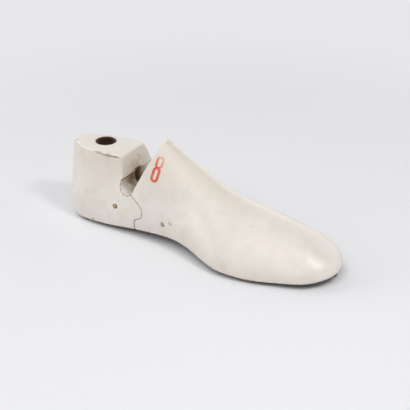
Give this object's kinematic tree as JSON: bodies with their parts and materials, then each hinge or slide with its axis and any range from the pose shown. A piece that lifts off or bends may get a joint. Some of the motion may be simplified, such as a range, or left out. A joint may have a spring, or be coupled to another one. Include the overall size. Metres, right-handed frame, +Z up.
{
  "type": "shoe last",
  "caption": "Hinged shoemaker's last for a right shoe: V-cut plastic body in two halves with steel bottom plates, spring link hinge and a thimble for the jack pin.",
  "frame": {"origin": "bottom centre of the last's box, on the surface that the bottom plates stand on", "axes": "+X from the heel to the toe, +Y towards the inner side of the foot, +Z up"},
  "size_m": [0.2752, 0.0884, 0.089],
  "materials": {
    "last_plastic": "high-density polyethylene, turned to shape, off-white and a little yellowed, scuffed satin",
    "plate_steel": "blackened sheet steel, dull and handled",
    "hinge_steel": "stamped steel, oiled and browned",
    "spring_steel": "drawn spring wire",
    "rusty_steel": "bare steel with a brown rust film"
  },
  "bodies": {
    "forepart": {"forepart": "last_plastic", "forepart_plate": "plate_steel", "front_pin": "rusty_steel", "stop_pin": "rusty_steel", "forepart_plate_nail_1": "rusty_steel", "forepart_plate_nail_2": "rusty_steel", "forepart_plate_nail_3": "rusty_steel", "forepart_plate_nail_4": "rusty_steel", "forepart_plate_nail_5": "rusty_steel", "forepart_plate_nail_6": "rusty_steel", "forepart_plate_nail_7": "rusty_steel", "forepart_plate_nail_8": "rusty_steel", "forepart_plate_nail_9": "rusty_steel"},
    "link": {"hinge_link": "hinge_steel", "hinge_spring": "spring_steel"},
    "saddle": {"spring_saddle": "hinge_steel"},
    "heel": {"heelpart": "last_plastic", "heel_plate": "plate_steel", "rear_pin": "rusty_steel", "thimble": "rusty_steel", "heel_plate_nail_1": "rusty_steel", "heel_plate_nail_2": "rusty_steel", "heel_plate_nail_3": "rusty_steel", "heel_plate_nail_4": "rusty_steel", "heel_plate_nail_5": "rusty_steel"}
  },
  "joints": [
    {"name": "link_swing", "type": "hinge", "parent": "forepart", "child": "link", "pos_m": [-0.02381, 0.00862, 0.02182], "axis": [0, 1, 0], "range_deg": [0, 6]},
    {"name": "spring_stretch", "type": "slide", "parent": "link", "child": "saddle", "axis": [-0.998, 0, 0.0627], "range_m": [0, 0.005], "deforming": ["hinge_spring"]},
    {"name": "heel_break", "type": "hinge", "parent": "saddle", "child": "heel", "pos_m": [-0.07631, 0.00862, 0.02512], "axis": [0, 1, 0], "range_deg": [0, 14], "stiffness_Nm_per_rad": 5.7, "springref_deg": -5.73}
  ],
  "couplings": [
    {"joint": "link_swing", "follows": "heel_break", "ratio": 0.4285},
    {"joint": "spring_stretch", "follows": "heel_break", "m_per_rad": 0.02046}
  ]
}
